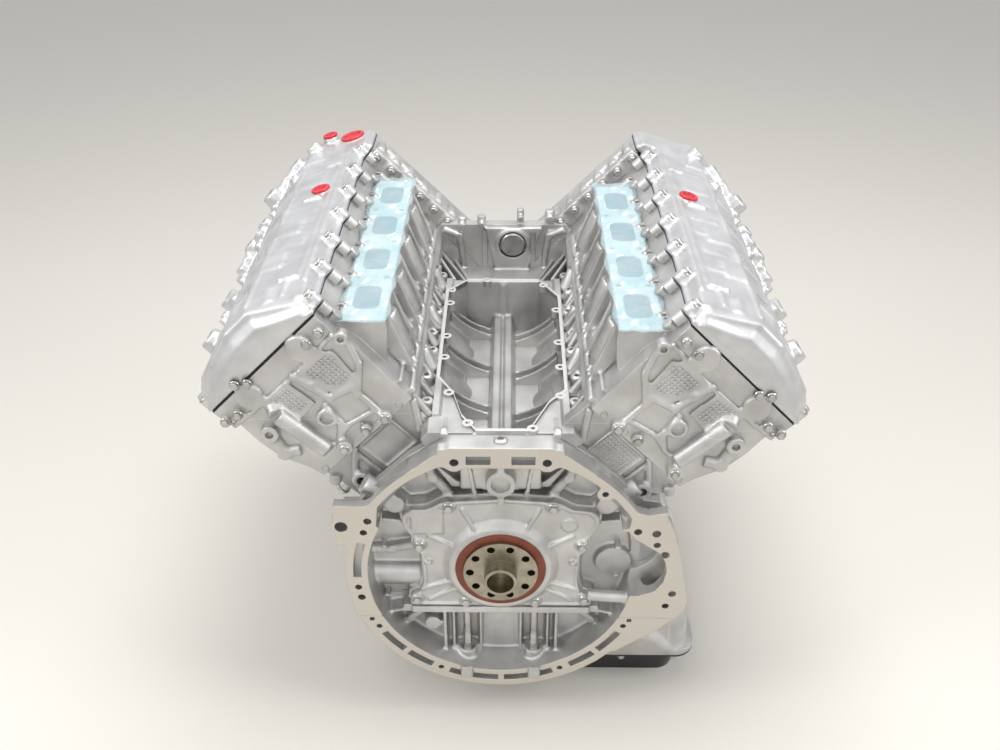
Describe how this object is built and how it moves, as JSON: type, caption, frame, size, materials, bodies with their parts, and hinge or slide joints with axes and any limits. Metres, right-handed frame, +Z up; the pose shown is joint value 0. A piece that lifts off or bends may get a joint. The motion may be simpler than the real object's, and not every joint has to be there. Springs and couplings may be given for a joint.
{
  "type": "complete v8 engine",
  "caption": "Aluminium V8 long block with twin-cam heads, cam covers, open valley, bellhousing ring, oil pan, crankshaft, pistons and chain-driven camshafts.",
  "frame": {"origin": "on the crankshaft's axis, in the plane of the bellhousing's machined face", "axes": "+Z up, +Y along the crankshaft towards the timing end, +X towards the right-hand bank seen from the flywheel end"},
  "size_m": [0.7524, 0.658, 0.6239],
  "materials": {
    "cast_aluminium": "bright sand-cast aluminium",
    "satin_aluminium": "die-cast aluminium, satin",
    "cast_iron": "machined cast iron",
    "forged_steel": "ground and forged steel",
    "machined_steel": "machined steel",
    "chain_steel": "oiled steel",
    "zinc_steel": "zinc-plated steel",
    "bearing_metal": "bearing metal",
    "piston_aluminium": "turned aluminium",
    "gasket_steel": "layered sheet steel",
    "gasket_white": "matt sheet",
    "gasket_rubber": "black rubber",
    "seal_rubber": "brown-red rubber",
    "guide_plastic": "nylon",
    "red_plastic": "moulded plastic",
    "blue_film": "thin protective film",
    "black_steel": "black painted steel"
  },
  "bodies": {
    "engine": {"cylinder_block": "cast_aluminium", "cylinder_liners": "cast_iron", "main_bearing_caps": "cast_iron", "main_bearing_shells": "bearing_metal", "main_cap_bolts": "zinc_steel", "rear_seal_retainer": "cast_aluminium", "rear_main_seal": "seal_rubber", "retainer_bolts": "zinc_steel", "upper_oil_pan": "cast_aluminium", "oil_sump": "black_steel", "sump_bolts": "zinc_steel", "bell_studs": "zinc_steel", "timing_cover": "cast_aluminium", "front_crank_seal": "seal_rubber", "timing_cover_bolts": "zinc_steel", "chain_guides": "guide_plastic", "oil_pump": "cast_aluminium", "cam_cover_bolts": "zinc_steel", "red_caps": "red_plastic", "core_plugs": "machined_steel", "coolant_pipe": "machined_steel", "drain_plug": "zinc_steel", "head_gasket_right": "gasket_steel", "head_right": "cast_aluminium", "intake_gasket_right": "gasket_white", "intake_film_right": "blue_film", "cam_housing_right": "cast_aluminium", "cam_bearing_caps_right": "cast_aluminium", "cam_cover_gasket_right": "gasket_rubber", "cam_cover_right": "satin_aluminium", "primary_chain_right": "chain_steel", "secondary_chain_right": "chain_steel", "head_gasket_left": "gasket_steel", "head_left": "cast_aluminium", "intake_gasket_left": "gasket_white", "intake_film_left": "blue_film", "cam_housing_left": "cast_aluminium", "cam_bearing_caps_left": "cast_aluminium", "cam_cover_gasket_left": "gasket_rubber", "cam_cover_left": "satin_aluminium", "primary_chain_left": "chain_steel", "secondary_chain_left": "chain_steel"},
    "crank": {"crankshaft": "forged_steel", "crank_sprocket": "chain_steel"},
    "intake_cam_right": {"intake_camshaft_right": "machined_steel", "intake_sprocket_right": "chain_steel"},
    "exhaust_cam_right": {"exhaust_camshaft_right": "machined_steel", "exhaust_sprocket_right": "chain_steel"},
    "piston_right_1": {"piston_right_1": "piston_aluminium"},
    "piston_right_2": {"piston_right_2": "piston_aluminium"},
    "piston_right_3": {"piston_right_3": "piston_aluminium"},
    "piston_right_4": {"piston_right_4": "piston_aluminium"},
    "intake_cam_left": {"intake_camshaft_left": "machined_steel", "intake_sprocket_left": "chain_steel"},
    "exhaust_cam_left": {"exhaust_camshaft_left": "machined_steel", "exhaust_sprocket_left": "chain_steel"},
    "piston_left_1": {"piston_left_1": "piston_aluminium"},
    "piston_left_2": {"piston_left_2": "piston_aluminium"},
    "piston_left_3": {"piston_left_3": "piston_aluminium"},
    "piston_left_4": {"piston_left_4": "piston_aluminium"}
  },
  "joints": [
    {"name": "crank_spin", "type": "hinge", "parent": "engine", "child": "crank", "pos_m": [0, 0, 0], "axis": [0, 1, 0], "continuous": true},
    {"name": "intake_cam_right_spin", "type": "hinge", "parent": "engine", "child": "intake_cam_right", "pos_m": [0.23335, 0.3, 0.30406], "axis": [0, 1, 0], "continuous": true},
    {"name": "exhaust_cam_right_spin", "type": "hinge", "parent": "engine", "child": "exhaust_cam_right", "pos_m": [0.29981, 0.3, 0.23759], "axis": [0, 1, 0], "continuous": true},
    {"name": "piston_right_1_slide", "type": "slide", "parent": "engine", "child": "piston_right_1", "axis": [0.7071, 0, 0.7071], "range_m": [-0.07463, 0.02737]},
    {"name": "piston_right_2_slide", "type": "slide", "parent": "engine", "child": "piston_right_2", "axis": [0.7071, 0, 0.7071], "range_m": [-0.00649, 0.09551]},
    {"name": "piston_right_3_slide", "type": "slide", "parent": "engine", "child": "piston_right_3", "axis": [0.7071, 0, 0.7071], "range_m": [-0.09005, 0.01195]},
    {"name": "piston_right_4_slide", "type": "slide", "parent": "engine", "child": "piston_right_4", "axis": [0.7071, 0, 0.7071], "range_m": [-0.01612, 0.08588]},
    {"name": "intake_cam_left_spin", "type": "hinge", "parent": "engine", "child": "intake_cam_left", "pos_m": [-0.23335, 0.3, 0.30406], "axis": [0, 1, 0], "continuous": true},
    {"name": "exhaust_cam_left_spin", "type": "hinge", "parent": "engine", "child": "exhaust_cam_left", "pos_m": [-0.29981, 0.3, 0.23759], "axis": [0, 1, 0], "continuous": true},
    {"name": "piston_left_1_slide", "type": "slide", "parent": "engine", "child": "piston_left_1", "axis": [-0.7071, 0, 0.7071], "range_m": [-0.00649, 0.09551]},
    {"name": "piston_left_2_slide", "type": "slide", "parent": "engine", "child": "piston_left_2", "axis": [-0.7071, 0, 0.7071], "range_m": [-0.01612, 0.08588]},
    {"name": "piston_left_3_slide", "type": "slide", "parent": "engine", "child": "piston_left_3", "axis": [-0.7071, 0, 0.7071], "range_m": [-0.07463, 0.02737]},
    {"name": "piston_left_4_slide", "type": "slide", "parent": "engine", "child": "piston_left_4", "axis": [-0.7071, 0, 0.7071], "range_m": [-0.09005, 0.01195]}
  ],
  "couplings": [
    {"joint": "intake_cam_right_spin", "follows": "crank_spin", "ratio": 0.5},
    {"joint": "exhaust_cam_right_spin", "follows": "crank_spin", "ratio": 0.5},
    {"joint": "intake_cam_left_spin", "follows": "crank_spin", "ratio": 0.5},
    {"joint": "exhaust_cam_left_spin", "follows": "crank_spin", "ratio": 0.5}
  ]
}
